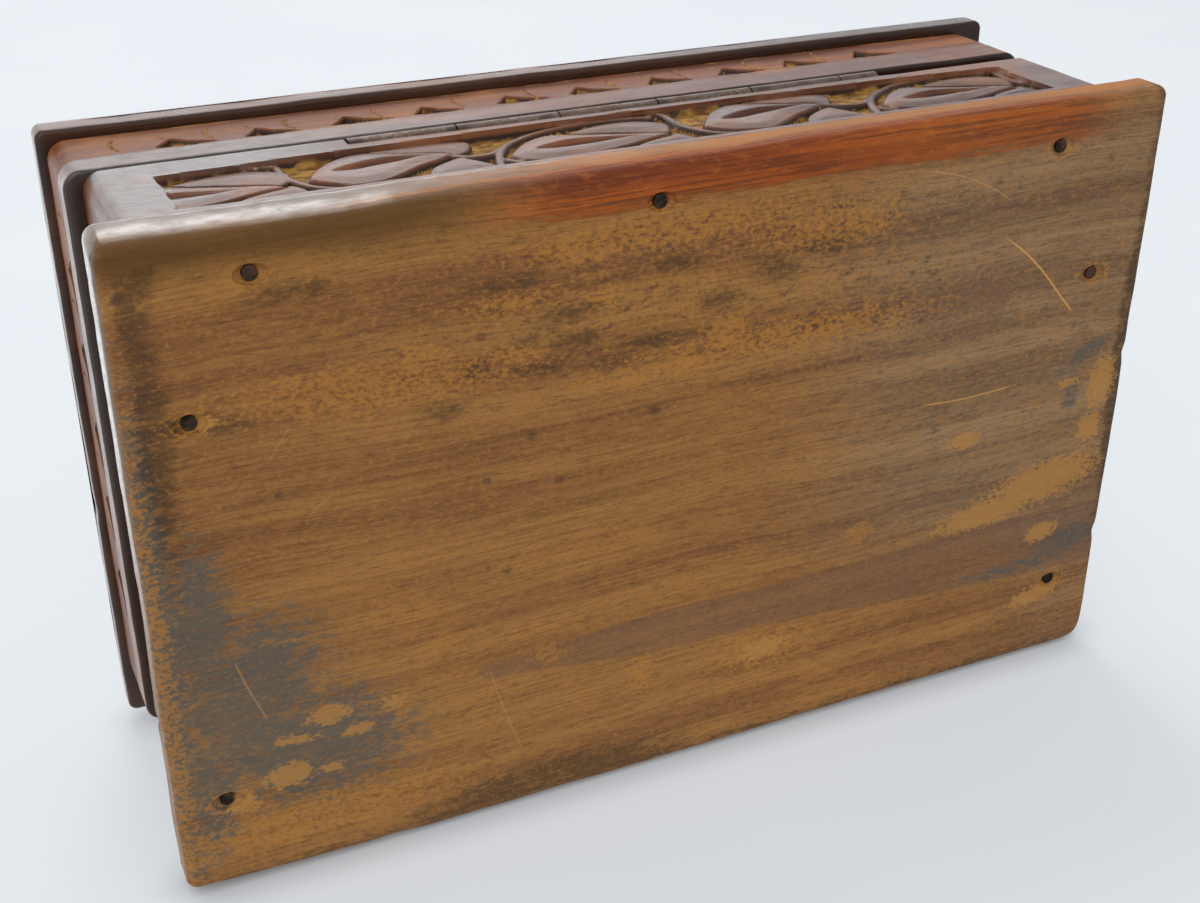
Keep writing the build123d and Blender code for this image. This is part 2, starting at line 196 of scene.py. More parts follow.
def random_swell(u, v, size, seed):
    """Smooth random numbers from -1 to 1 over a face, whose swells are about this many millimetres across."""
    count = 97
    lattice = np.random.default_rng(seed).uniform(-1, 1, (count, count))
    column, row = np.broadcast_arrays(u / size + 500.37, v / size + 500.73)
    left, low = np.floor(column).astype(int), np.floor(row).astype(int)
    across, up = column - left, row - low
    across, up = across * across * (3 - 2 * across), up * up * (3 - 2 * up)
    left, right = left % count, (left + 1) % count
    here, above = [
        lattice[line, left] * (1 - across) + lattice[line, right] * across
        for line in (low % count, (low + 1) % count)
    ]
    return here * (1 - up) + above * up


def spaced(low, high, step, creases=()):
    """Places from low to high about a step apart, with a close pair at each crease, where the face steps."""
    places = list(np.linspace(low, high, max(1, round((high - low) / step)) + 1))
    for place in creases:
        if low < place < high:
            places += [place - crease, place + crease]
    return np.array(sorted(places))


def ease(value, low, high):
    """0 below low, 1 above high, and a smooth rise between."""
    share = np.clip((value - low) / (high - low), 0, 1)
    return share * share * (3 - 2 * share)


def read_places(piece):
    """A mesh's points, in metres, one row each."""
    places = np.empty(len(piece.data.vertices) * 3, np.float32)
    piece.data.vertices.foreach_get("co", places)
    return places.reshape(-1, 3).astype(float)


def write_places(piece, places):
    """Moves a mesh's points to these places, in metres."""
    piece.data.vertices.foreach_set("co", places.astype(np.float32).ravel())
    piece.data.update()


def paint_points(piece, **masks):
    """Gives a mesh one number at each point under each of these names, for its material."""
    for name, values in masks.items():
        values = np.clip(values, 0, 1).astype(np.float32)
        piece.data.attributes.new(name, "FLOAT", "POINT").data.foreach_set("value", values)


def select_only(piece):
    """Makes this piece the only one selected, and the active one."""
    bpy.ops.object.select_all(action="DESELECT")
    piece.select_set(True)
    bpy.context.view_layer.objects.active = piece


def close_up(piece):
    """Merges a mesh's doubled points, closes what is open, and points all its faces outwards."""
    select_only(piece)
    bpy.ops.object.mode_set(mode="EDIT")
    bpy.ops.mesh.select_all(action="SELECT")
    bpy.ops.mesh.remove_doubles(threshold=merge_gap)
    bpy.ops.mesh.select_all(action="SELECT")
    bpy.ops.mesh.fill_holes(sides=0)
    bpy.ops.mesh.select_all(action="SELECT")
    bpy.ops.mesh.normals_make_consistent(inside=False)
    bpy.ops.object.mode_set(mode="OBJECT")


def make_grid(name, columns, rows):
    """A flat grid, with the column and the row of each of its points."""
    bpy.ops.object.select_all(action="DESELECT")
    bpy.ops.mesh.primitive_grid_add(x_subdivisions=columns - 1, y_subdivisions=rows - 1, size=2)
    grid = bpy.context.object
    grid.name = grid.data.name = name
    flat = read_places(grid)
    column = np.rint((flat[:, 0] + 1) / 2 * (columns - 1)).astype(int)
    row = np.rint((flat[:, 1] + 1) / 2 * (rows - 1)).astype(int)
    return grid, column, row


def make_board(name, low, high, low_round, top_round, plan_round, step):
    """A board with rounded corners and edges: two grids whose outer rings bend to meet round its edge."""
    half_thickness = (high.z - low.z) / 2
    arc = np.radians(np.linspace(0, 90, edge_turns + 1))
    halves = []
    for up, edge_round in ((1, top_round), (-1, low_round)):
        inset = max(plan_round, edge_round)
        from_edge = np.concatenate([[inset], edge_round * (1 - np.sin(arc)), [0]])
        drop = np.concatenate([[0], edge_round * (1 - np.cos(arc)), [half_thickness]])
        rings = len(drop) - 1
        inner = [spaced(low[axis] + inset, high[axis] - inset, step) for axis in (0, 1)]
        half, *cells = make_grid(name, *[len(places) + 2 * rings for places in inner])
        past = [np.minimum(cell - rings, 0) + np.maximum(cell - (cell.max() - rings), 0) for cell in cells]
        far_x, far_y = np.abs(past)
        ring = np.maximum(far_x, far_y)
        turn = np.where(far_x >= far_y, far_y, 2 * ring - far_x) / np.maximum(2 * ring, 1) * math.pi / 2
        inward = from_edge[ring]
        in_corner = (far_x > 0) & (far_y > 0)
        centre = np.where(in_corner, np.maximum(plan_round, inward), inward)
        reach = np.where(in_corner, np.maximum(plan_round - inward, 0), 0)
        places = []
        for axis, lean in ((0, np.cos(turn)), (1, np.sin(turn))):
            place = inner[axis][np.clip(cells[axis] - rings, 0, len(inner[axis]) - 1)]
            place = np.where(past[axis] < 0, low[axis] + centre, place)
            place = np.where(past[axis] > 0, high[axis] - centre, place)
            places.append(place + np.sign(past[axis]) * reach * lean)
        places.append((low.z + high.z) / 2 + up * (half_thickness - drop[ring]))
        write_places(half, np.stack(places, axis=-1) * MM)
        halves.append(half)
    select_only(halves[0])
    halves[1].select_set(True)
    bpy.ops.object.join()
    board = bpy.context.object
    close_up(board)
    return board


def wear_edges(piece, low, high, reach, dents):
    """Pulls a board's edges in a little: by swells of up to this reach, and by dents."""
    places = read_places(piece) / MM
    for axis, across in ((0, 1), (1, 0)):
        for side, sign in ((low[axis], 1), (high[axis], -1)):
            share = 1 - ease(np.abs(places[:, axis] - side), 0, wear_width)
            swell = 0.5 + 0.5 * random_swell(places[:, across], places[:, 2] * 0 + side, 11, 31)
            ripple = 0.5 + 0.5 * random_swell(places[:, across], places[:, 2], 3.5, 32)
            pull = reach * (0.75 * swell + 0.25 * ripple)
            for edge, middle, width, depth in dents:
                if edge == (axis, sign):
                    pull = pull + depth * np.exp(-(((places[:, across] - middle) / width) ** 2))
            places[:, axis] += sign * share * pull
    write_places(piece, places * MM)


def sink_pits(piece, nails, face_z):
    """Cuts a small bruised pit round each nail, askew so that none of its faces lies in the board's."""
    for x, y in nails:
        bpy.ops.object.select_all(action="DESELECT")
        turn = (0.11, 0.07, 0.2 * math.sin(x))
        bpy.ops.mesh.primitive_uv_sphere_add(segments=22, ring_count=11, radius=1, rotation=turn)
        cutter = bpy.context.object
        bpy.ops.object.transform_apply(location=True, rotation=True, scale=True)
        write_places(cutter, (read_places(cutter) * pit_size + [x + 0.013, y + 0.017, face_z + 0.02]) * MM)
        pit = piece.modifiers.new("nail_pit", "BOOLEAN")
        pit.operation = "DIFFERENCE"
        pit.solver = "EXACT"
        pit.object = cutter
        select_only(piece)
        bpy.ops.object.modifier_apply(modifier=pit.name)
        bpy.data.objects.remove(cutter)


def spots(x, y, ovals):
    """How much the ovals cover each point. An oval: its middle, half lengths and any turn in degrees."""
    cover = np.zeros(x.shape)
    for middle_x, middle_y, half_x, half_y, *turn in ovals:
        across, up = x - middle_x, y - middle_y
        turn = math.radians(*turn or [0])
        cosine, sine = math.cos(turn), math.sin(turn)
        far = np.hypot((across * cosine + up * sine) / half_x, (up * cosine - across * sine) / half_y)
        cover = np.maximum(cover, np.clip(1.5 - far, 0, 1))
    return cover


def wood_grain(wood, along, seed):
    """What every sheesham face shares: bands, fine lines, pores, clouds, flecks, crumbs and raised fibres.

    The pores are a quarter of a millimetre across, twice the real ones' width, so that they show at all."""
    shape = add_node(wood, "TexCoord").outputs["Object"]
    place = {"Vector": shape, "Location": (seed * 37.0, seed * 11.0, seed * 5.0), "Scale": [1 / MM] * 3}
    place |= {"Rotation": (0, 0, 0 if along == "x" else math.pi / 2)}
    place = add_node(wood, "Mapping", place)
    bend = add_node(wood, "TexNoise", {"Vector": place, "Scale": 0.014, "Detail": 1})
    bend = add_node(wood, "VectorMath", (bend.outputs["Color"], (0, 6, 6)), operation="MULTIPLY")
    bent = add_node(wood, "VectorMath", (place, bend), operation="ADD")
    # Bands, lines, pores, clouds, flecks and crumbs: how each is squeezed, its detail and its roughness.
    parts = []
    for scale, detail, rough in (
        ((0.005, 0.13, 0.13), 3, 0.5),
        ((0.03, 1.8, 1.8), 3, 0.62),
        ((0.26, 4.4, 4.4), 2, 0.5),
        ((0.035, 0.075, 0.075), 5, 0.6),
        ((0.30, 0.75, 0.75), 5, 0.68),
        ((0.95, 1.35, 1.35), 5, 0.70),
    ):
        squeezed = add_node(wood, "VectorMath", (bent, scale), operation="MULTIPLY")
        texture = {"Vector": squeezed, "Scale": 1.0, "Detail": detail, "Roughness": rough}
        parts.append(add_node(wood, "TexNoise", texture))
    fibres = add_node(wood, "Math", (parts[1], 0.5, parts[2]), operation="MULTIPLY_ADD")
    return *parts, fibres


def add_layers(material, tone, *layers):
    """The colour that comes of laying colours over a first one.

    Each layer is its colour, its mask, where the mask starts and ends its rise, and the most it covers."""
    for colour, mask, low, high, most in layers:
        cover = add_node(material, "MapRange", (mask, low, high, 0, most), interpolation_type="SMOOTHSTEP")
        mix = add_node(material, "Mix", {0: cover, 6: tone, 7: colour}, data_type="RGBA")
        tone = mix.outputs[2]
    return tone


def broken_edge(wood, name, texture, amount):
    """A mask painted on the mesh, whose edge one of the wood's textures breaks up by this amount."""
    spot = add_node(wood, "Attribute", attribute_name=name).outputs["Fac"]
    spread = (texture, 0.36, 0.64, -amount / 2, amount / 2)
    spread = add_node(wood, "MapRange", spread, interpolation_type="SMOOTHSTEP")
    return add_node(wood, "Math", (spot, spread), operation="ADD")


def smooth_outline(points, closed=True):
    """A curve through these points, as closer points."""
    points = np.array(points, float)
    last = len(points) if closed else len(points) - 1
    curve = []
    for i in range(last):
        around = np.arange(i - 1, i + 3)
        around = around % len(points) if closed else np.clip(around, 0, len(points) - 1)
        before, start, end, after = points[around]
        for share in np.linspace(0, 1, 6)[:-1]:
            pull = share * (end - before) + share**2 * (2 * before - 5 * start + 4 * end - after)
            curve.append(start + 0.5 * (pull + share**3 * (3 * start - before - 3 * end + after)))
    return np.array(curve if closed else curve + [points[-1]])


def scratch_marks(x, y, scratches):
    """How far left or right of the nearest scratch each point lies, and how strong that scratch is there."""
    side = np.full(x.shape, 99.0)
    strength = np.zeros(x.shape)
    for most, path in scratches:
        path = smooth_outline(path, closed=False)
        count = len(path) - 1
        for i in range(count):
            start, (run, rise) = path[i], path[i + 1] - path[i]
            share = ((x - start[0]) * run + (y - start[1]) * rise) / (run * run + rise * rise)
            share = np.clip(share, -50 if i == 0 else 0, 50 if i == count - 1 else 1)
            off = np.hypot(x - start[0] - share * run, y - start[1] - share * rise)
            nearer = off < np.abs(side)
            left = np.where(run * (y - start[1]) > rise * (x - start[0]), 1, -1)
            side = np.where(nearer, off * left, side)
            way = (i + share) / count
            strength = np.where(nearer, most * ease(way, 0, 0.2) * ease(-way, -1, -0.85), strength)
    return side, strength


# Bare rubbed sheesham: a mid brown with fine straight grain, crumbled and speckled where it was rubbed bare,
# with grey-blue and red-brown stains, and painted shade darkens it along the front edge. Only its back edge
# and its right end are polished, with a white sheen, and their colour is greyed there as a painted sheen.
bare = with_nodes(bpy.data.materials.new("sheesham_bare_rubbed"))
bands, lines, pores, cloud, fleck, crumb, fibres = wood_grain(bare, "x", 1)
masks = {
    name: add_node(bare, "Attribute", attribute_name=name).outputs["Fac"]
    for name in ("grey", "olive", "rough", "scratch_side", "scratch", "red_strength", "polish")
}
grey_wood = add_layers(bare, "#755d46", ("#9c8060", bands, 0.3, 0.7, 1))
tone = add_layers(
    bare,
    "#8a5a30",
    ("#a6743c", bands, 0.34, 0.66, 1),
    ("#7a4b27", cloud, 0.46, 0.30, 0.4),
    ("#b07838", cloud, 0.52, 0.70, 0.5),
    (grey_wood, masks["grey"], 0, 1, 0.8),
    ("#4f3218", lines, 0.54, 0.36, 0.30),
    ("#c08a4a", lines, 0.52, 0.68, 0.16),
    ("#3c2515", pores, 0.42, 0.32, 0.40),
    ("#5c3a20", fleck, 0.47, 0.32, 0.36),
    ("#b87830", fleck, 0.52, 0.66, 0.34),
    ("#4a2e1a", crumb, 0.46, 0.32, 0.32),
    ("#b8803c", crumb, 0.54, 0.68, 0.32),
)
clumps = add_node(bare, "Math", (fleck, 0.9, crumb), operation="MULTIPLY_ADD")
for low, high, most, colour in ((1.00, 0.70, 0.54, "#54392a"), (0.92, 1.16, 0.50, "#b07a38")):
    speckle = add_node(bare, "MapRange", (clumps, low, high, 0, most), interpolation_type="SMOOTHSTEP")
    speckle = add_node(bare, "Math", (speckle, masks["rough"]), operation="MULTIPLY")
    tone = add_layers(bare, tone, (colour, speckle, 0, 1, 1))
# Marks painted on the mesh: the texture that breaks up each one's edge, how much it does, and its layer.
for name, texture, amount, low, high, most, colour in (
    ("streak", fleck, 0.30, 0.36, 0.62, 0.52, "#70503f"),
    ("stain", fleck, 0.70, 0.15, 1.05, 0.78, "#4e5450"),
    # This layer shows real dirt, and also painted shade along the front edge.
    ("grime_and_edge_shade", fleck, 0.60, 0.25, 1.10, 0.70, "#3c2a18"),
    ("tan", crumb, 1.60, 0.35, 1.30, 0.62, "#b57a32"),
    ("worn", crumb, 0.60, 0.42, 0.74, 0.70, "#b88340"),
    ("dots", crumb, 0.70, 0.50, 0.80, 0.60, "#43352c"),
):
    mask = broken_edge(bare, name, texture, amount)
    tone = add_layers(bare, tone, (colour, mask, low, high, most))
red_edge = broken_edge(bare, "red", lines, 0.5)
red_cover = (red_edge, 0.35, 0.65, 0, masks["red_strength"])
red_cover = add_node(bare, "MapRange", red_cover, interpolation_type="SMOOTHSTEP")
red_wood = add_layers(
    bare,
    "#702c08",
    ("#aa5210", bands, 0.36, 0.60, 1),
    ("#541f0a", lines, 0.54, 0.38, 0.6),
    ("#b8661c", fleck, 0.50, 0.66, 0.4),
    ("#6a3a16", red_edge, 1.0, 0.45, 0.75),
)
# How far a point lies to either side of a scratch is painted as 0.5 and its share of this span.
scratch_span = 20
scratched = add_node(bare, "Math", (masks["scratch_side"], 0.5), operation="SUBTRACT")
scratched = add_node(bare, "Math", {0: scratched}, operation="ABSOLUTE")
scratched = (scratched, 0.28 / scratch_span, 0.08 / scratch_span, 0, masks["scratch"])
scratched = add_node(bare, "MapRange", scratched, interpolation_type="SMOOTHSTEP")
run_varnish = add_layers(
    bare,
    "#4e2a17",
    ("#7c4a28", bands, 0.36, 0.64, 1),
    ("#2f1a10", lines, 0.54, 0.36, 0.5),
)
tone = add_layers(
    bare,
    tone,
    ("#57390c", masks["olive"], 0, 1, 0.80),
    (red_wood, red_cover, 0, 1, 1),
    ("#d09a58", scratched, 0, 1, 1),
    ("#a9692b", broken_edge(bare, "lip", lines, 0.3), 0.3, 0.8, 1),
    # Painted sheen: the colour is greyed where the wood is polished, so that the reflection there reads
    # neutral white.
    ("#74675a", masks["polish"], 0.35, 0.85, 0.85),
    (run_varnish, broken_edge(bare, "varnish", lines, 0.5), 0.2, 0.8, 1),
)
polish = add_node(bare, "Math", (red_cover, 0.10), operation="MULTIPLY")
polish = add_node(bare, "Math", (polish, masks["polish"]), operation="MAXIMUM")
rubbed = add_node(bare, "MapRange", (fleck, 0.38, 0.58, 0.55))
polish = add_node(bare, "Math", (polish, rubbed), operation="MULTIPLY")
softness = add_node(bare, "Math", (polish, -0.30, 0.62), operation="MULTIPLY_ADD")
crumbled = add_node(bare, "Math", (masks["rough"], 2.6, 0.7), operation="MULTIPLY_ADD")
height = add_node(bare, "Math", (crumb, crumbled, fibres), operation="MULTIPLY_ADD")
relief = add_node(bare, "Bump", {"Strength": 0.35, "Distance": 0.0002, "Height": height})
face = {"Base Color": tone, "Roughness": softness, "IOR": 1.45, "Specular IOR Level": 0.3, "Normal": relief}
face |= {"Coat Weight": polish, "Coat Roughness": 0.16, "Coat IOR": 1.6}
face = add_node(bare, "BsdfPrincipled", face)
add_node(bare, "OutputMaterial", {"Surface": face})

board_low, board_high = [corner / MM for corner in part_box("bottom_board")]
bottom = make_board(
    "bottom_board_worn", board_low, board_high, low_round=1.7, top_round=1.8, plan_round=2.4, step=0.9
)
# Dents: the edge, as its axis and which way it pulls, then the place along it, the half width and the depth.
dents = [
    ((1, 1), 108, 24, 1.5),
    ((1, 1), 62, 3.0, 0.35),
    ((0, 1), 7, 1.6, 0.5),
    ((0, 1), -36, 1.8, 0.6),
    ((0, 1), 16, 5.0, 0.3),
    ((0, -1), -28, 1.2, 0.35),
    ((0, 1), -67, 5.0, 1.9),
    ((1, 1), -105, 5.0, 1.9),
]
wear_edges(bottom, board_low, board_high, reach=0.5, dents=dents)
# The back edge slopes inwards towards the underside on the right.
slope_depth = 2.0
slope_height = 7.2
places = read_places(bottom) / MM
low_share = np.clip((slope_height - places[:, 2]) / slope_height, 0, 1)
places[:, 1] -= slope_depth * ease(places[:, 0], -60, 80) * low_share * ease(places[:, 1], 55, 62)
write_places(bottom, places * MM)
bottom_nail_places = [
    (-76.8, 53.9), (7.8, 55.2), (78.3, 53.8), (-89.8, -45.8), (92.3, -44.2), (-88.8, 26.4), (90.3, 30.5),
]
sink_pits(bottom, bottom_nail_places, board_low.z)
x, y, z = (read_places(bottom) / MM).T
# Each scratch's strength and the points that it runs through.
scratches = [
    (0.40, [(-44.3, 53.6), (-52.9, 51.7), (-61.3, 48.0), (-67.1, 44.2)]),
    (0.90, [(-65.0, 38.2), (-71.3, 33.5), (-76.7, 28.3), (-81.6, 22.6), (-85.6, 18.2)]),
    (0.70, [(-49.7, 5.0), (-60, 4.4), (-72.9, 4.9)]),
    (0.40, [(88.3, -14.9), (86.2, -22), (83.3, -29.9)]),
    (0.35, [(42.2, -29.4), (39.5, -40), (35.9, -51.0)]),
    (0.30, [(79.1, 20.3), (77, 23.5), (74.5, 27.1)]),
    (0.30, [(67.2, 13.6), (70.5, 11.6), (73.6, 9.1)]),
]
scratch_side, scratch = scratch_marks(x, y, scratches)
dot_reach = 1.6
dots = [
    (77.7, 14.9), (40.9, 9.0), (32.4, 16.1), (37.7, -10.1), (-9.9, 60.2), (-88.9, 50.5), (-0.4, 26.3),
    (-54.2, -1.3), (-62.9, 49.3), (27.2, 6.1), (93.1, 56.9), (98.3, 53.0),
]
# The marks, how strong they are, and the ovals that make them up.
marks = {}
for name, share, ovals in (
    ("stain", 1, [
        (93, -8, 6, 17), (86, -24, 12, 17, 20), (76, -37, 18, 12, 8), (95, -42, 5, 13), (99, -12, 3, 50),
    ]),
    ("stain", 0.85, [(-90, 8.7, 7.5, 1.9, -26), (-87.8, 0.2, 2, 4), (-100.6, 4, 1.5, 22)]),
    ("stain", 0.80, [(-93, -35.6, 11, 3.8, -10), (-79, -40, 13, 1.8)]),
    ("worn", 1, [
        (72.6, -31.5, 4.4, 2.2), (60.4, -32.4, 2.8, 1.5), (67.3, -36.1, 3.2, 1.3), (79.3, -34.9, 4.4, 1.1, 5),
        (80.9, -42.3, 4.6, 2.8), (73.0, -43.0, 2.4, 1.2), (-62.0, -5.4, 4.0, 2.0),
        (-83.5, -19.6, 15, 5.0, -8), (-69.5, -24, 13, 3.2, -4), (-85, -32.4, 4.6, 2.4, -10),
        (-85.5, -48.6, 7, 2.2, -8), (-95.5, 1.5, 3.6, 6, 5), (-94, -9, 3.0, 4), (-86.6, 2.8, 3, 0.9),
        (89.5, -46, 3.4, 2.0), (88.4, 30.2, 2.6, 1.4), (-17, -43.0, 5, 2.2),
    ]),
    ("tan", 1, [(nail_x, nail_y, 4.2, 2.4) for nail_x, nail_y in bottom_nail_places] + [
        (-16, -43.2, 12, 4.2), (10.7, -41.4, 3, 4), (78, -53, 26, 4.4), (60, 31, 24, 4, 4), (-28, 46, 14, 4),
        (5, 50, 26, 3), (-38, -20.5, 3, 2.4), (100, -20, 2, 50), (-20, 26, 30, 3), (30, -30.5, 4, 2),
        (51, -22.5, 3, 1.6), (23.2, 48, 5, 2), (18.3, 39.8, 4, 1.7), (52.4, 34.2, 5, 3.4),
        (35.8, 32.2, 5.9, 1.6), (-6, 29.9, 4.9, 2.4), (50.6, 29, 5, 2.4), (35.6, 41.7, 8, 1.7),
        (6.8, 23.7, 15, 1.5),
    ]),
    # The first row darkens bands along the front edge and along both ends.
    ("grime_and_edge_shade", 1, [(30, -59, 26, 3.4), (-100, 8, 2.6, 22), (96, 30, 3, 26)]),
    ("grime_and_edge_shade", 0.7, [(86.7, 29.8, 8, 2.6, 8), (72, 50, 9, 2.6), (95, 55, 3.4, 2), (98, 50, 1.6, 6)]),
    ("grime_and_edge_shade", 0.8, [
        (26, 38, 6.6, 2.2), (22.8, 32.9, 6.2, 1.8), (6.9, 30, 8.8, 1.9), (33.1, 33.8, 2.6, 1.4),
        (42.2, 30.4, 3, 1.7), (30.5, 28.8, 6, 1.5), (-4.6, 35.3, 5.1, 2.9), (-15.8, 39.6, 6.8, 2.9),
        (-24.6, 27.2, 3.2, 1.8), (37, 45.3, 8.4, 1.8), (48.3, 24.2, 5.2, 2.1), (-26, 42.4, 7, 2.5),
        (4.4, 43.7, 7, 1.8), (18.3, 27.4, 5.1, 1.5), (21.6, 38.7, 3.3, 1.4), (8.4, 16.2, 1.8, 1.1),
    ]),
    ("rough", 1, [(16, 36, 44, 13, 3), (-25, 31, 34, 13), (-5, 46, 60, 7)]),
    ("rough", 0.5, [(-80, 10, 30, 18), (-58, 24, 20, 11, 4)]),
    ("streak", 0.55, [(-59, 24, 17, 9, 4)]),
):
    marks[name] = marks.get(name, 0) + share * spots(x, y, ovals)
streak_middle = -31.0 - 4.5 * (46 - x) / 145
streak_half = 3.0 * ease(48 - x, 0, 45) + 2.8 * ease(-x, 15, 75)
marks["streak"] += (1 - ease(np.abs(y - streak_middle) - streak_half, 0.4, 2.6)) * ease(48 - x, 0, 8)
# Painted shade along the front edge, where the board stands on the table, and a darker band along the left
# end.
marks["grime_and_edge_shade"] += 0.9 * ease(-y, 58.5, 63.5) + 0.85 * ease(-x, 96.5, 101) * ease(y, -60, -20)
# The polish, which also greys the colour as a painted sheen, is strongest towards the right of the back edge.
back_polish = (0.04 + 0.86 * ease(x, -20, 80)) * ease(z + 0.5 * random_swell(x, z, 6, 42), 1.6, 3.4)
end_polish = (0.12 + 0.88 * ease(y, -25, 40)) * ease(z, 0, 0.7)
paint_points(
    bottom,
    red=ease(y, 52.4, 57.6) * ease(z, 7, 2.5),
    red_strength=(0.95 - 0.22 * ease(-x, 5, 60)) * ease(-x, -52, -18) * ease(x, -99, -76),
    lip=ease(y, 58, 60) * ease(z, 1.2, 3.0) * (0.7 + 0.3 * random_swell(x, z, 9, 41)),
    polish=np.maximum(ease(y, 58, 60) * back_polish, 0.75 * ease(x, 99.3, 101) * end_polish),
    scratch_side=0.5 + scratch_side / scratch_span,
    scratch=scratch * ease(z, 1.0, 0.4),
    dots=np.max([1.15 - np.hypot(x - dot_x, y - dot_y) / dot_reach for dot_x, dot_y in dots], axis=0),
    varnish=ease(z + 2.6 * ease(-y, -60, -56), 6.4, 8.3),
    olive=ease(y, 52, 61) * ease(x, 20, 60) + 0.12 * ease(y, 40, 56) * ease(x, -10, 60),
    grey=ease(-x, -5, 70) * ease(y + 40, 0, 25) * ease(62 - y, 0, 14) + 0.5 * ease(-x, 60, 95),
    **marks,
)
select_only(bottom)
bpy.ops.object.shade_smooth_by_angle(angle=math.radians(40))
bottom.data.materials.append(bare)
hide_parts("bottom_board")
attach(bottom, "box")

# ---- body walls ----
# Four planed sheesham bars, mitred at the corners and rounded there by wear. Each has a panel sunk with a
# gouge: a wavy stem with big leaves, by turns high and low, on a rough ground that was never varnished.

carve_step = 0.33
flat_step = 3.0
worn_edge = 0.7
# How dark the painted shade under each bar is, given as a cut depth in millimetres.
under_ledge_shade = 2.4
corner_round = 3.5
corner_steps = 8
beyond = 200
SIDES = ("front", "right", "back", "left")


def away_from(u, v, path):
    """The distance of each point from an open path."""
    nearest = np.full(u.shape, 1e9)
    for start, end in zip(path[:-1], path[1:]):
        run, rise = end - start
        share = np.clip(((u - start[0]) * run + (v - start[1]) * rise) / (run * run + rise * rise), 0, 1)
        nearest = np.minimum(nearest, np.hypot(u - start[0] - share * run, v - start[1] - share * rise))
    return nearest


def inside_by(u, v, outline):
    """How far inside a closed outline each point lies, negative outside it."""
    outline = np.vstack([outline, outline[:1]])
    inside = np.zeros(u.shape, bool)
    for start, end in zip(outline[:-1], outline[1:]):
        run, rise = end - start
        if rise:
            inside ^= ((start[1] > v) != (end[1] > v)) & (u < start[0] + (v - start[1]) * run / rise)
    return away_from(u, v, outline) * np.where(inside, 1, -1)


def measure_ring(pattern):
    """Where the ring of bars so named ends to the left, right, front and back, and its two levels."""
    front, right, back, left = [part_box(pattern.format(side)) for side in SIDES]
    ends = (left[0].x / MM, right[1].x / MM, front[0].y / MM, back[1].y / MM)
    return ends, (back[0].z / MM, back[1].z / MM)


def wrap_bar(name, side, ring, thickness, levels, carve, creases, seats, seed):
    """A mitred bar: a grid whose rows run up its carved face, over its top and down its inner face.

    Each seat is a low and a high corner between which the points are held to a limit along an axis."""
    left, right, front, back = ring
    bottom, top = levels
    half = (right - left if side in ("front", "back") else back - front) / 2
    turns = np.radians(np.linspace(0, 45, corner_steps + 1)[1:])
    straight = spaced(corner_round - half, half - corner_round, carve_step, creases["along"])
    end = np.full(corner_steps, half - corner_round)
    along = np.concatenate([-end, straight, end])
    turn = np.concatenate([-turns[::-1], np.zeros(len(straight)), turns])

    arc = np.radians(np.linspace(0, 90, edge_turns))
    face = spaced(bottom + worn_edge, top - worn_edge, carve_step, creases["up"])[1:-1]
    flat = spaced(worn_edge, thickness, flat_step, creases["in"])[1:]
    rows = [(depth, bottom, 0) for depth in flat[::-1]]
    rows += [(worn_edge * (1 - math.sin(a)), bottom + worn_edge * (1 - math.cos(a)), 0) for a in arc]
    rows += [(0, level, 1) for level in face]
    rows += [(worn_edge * (1 - math.cos(a)), top - worn_edge * (1 - math.sin(a)), 0) for a in arc]
    rows += [(depth, top, 0) for depth in flat]
    rows += [(thickness, (bottom + top) / 2, 0), (thickness, bottom, 0)]
    depth, level, on_face = [np.array(column)[:, None] for column in zip(*rows)]

    reach = along + corner_round * np.sin(turn)
    cut, dust, shine = carve(reach[None, :] + half, level - bottom)
    swell = 0.1 * random_swell(reach[None, :], level, 17, seed)
    swell += 0.05 * random_swell(reach[None, :], level, 5, 3)
    depth = depth + np.where(on_face == 1, cut + np.abs(swell), np.abs(swell) * (depth < 1))
    dust = dust * on_face

    radius = np.maximum(corner_round - depth, 0)
    place = along + radius * np.sin(turn)
    rounding = np.where(depth < corner_round, np.cos(turn), 1)
    inward = np.where(turn == 0, depth, corner_round - (corner_round - depth) * rounding)
    place = np.clip(place, inward - half, half - inward)
    middle_x, middle_y = (left + right) / 2, (front + back) / 2
    x, y = {
        "front": (middle_x + place, front + inward),
        "right": (right - inward, middle_y + place),
        "back": (middle_x - place, back - inward),
        "left": (left + inward, middle_y - place),
    }[side]
    places = np.stack([x, y, level + 0 * x])
    for low, high, axis, limit in seats:
        within = np.all([(places[i] > low[i]) & (places[i] < high[i]) for i in range(3)], axis=0)
        places[axis][within] = limit

    bar, column, row = make_grid(name, x.shape[1], x.shape[0])
    write_places(bar, np.moveaxis(places, 0, -1)[row, column] * MM)
    # Painted shade on each bar's underside and lower edge, as under the rim's overhang, added to its cut
    # mask.
    ledge_shade = under_ledge_shade * (1 - ease(level, bottom + 0.1, bottom + 0.7))
    masks = {"cut": (cut * on_face + ledge_shade) / 3, "dust": dust, "shine": shine * (depth < 3)}
    masks = {name: np.broadcast_to(values, x.shape)[row, column] for name, values in masks.items()}
    paint_points(bar, **masks)
    close_up(bar)
    bpy.ops.object.shade_smooth_by_angle(angle=math.radians(50))
    return bar


panel_end = 10.6
panel_low = 2.2
panel_high = 19.6
panel_bow = 2.2
ground_depth = 2.2
stem_half = 0.8
stem_foot = 1.25
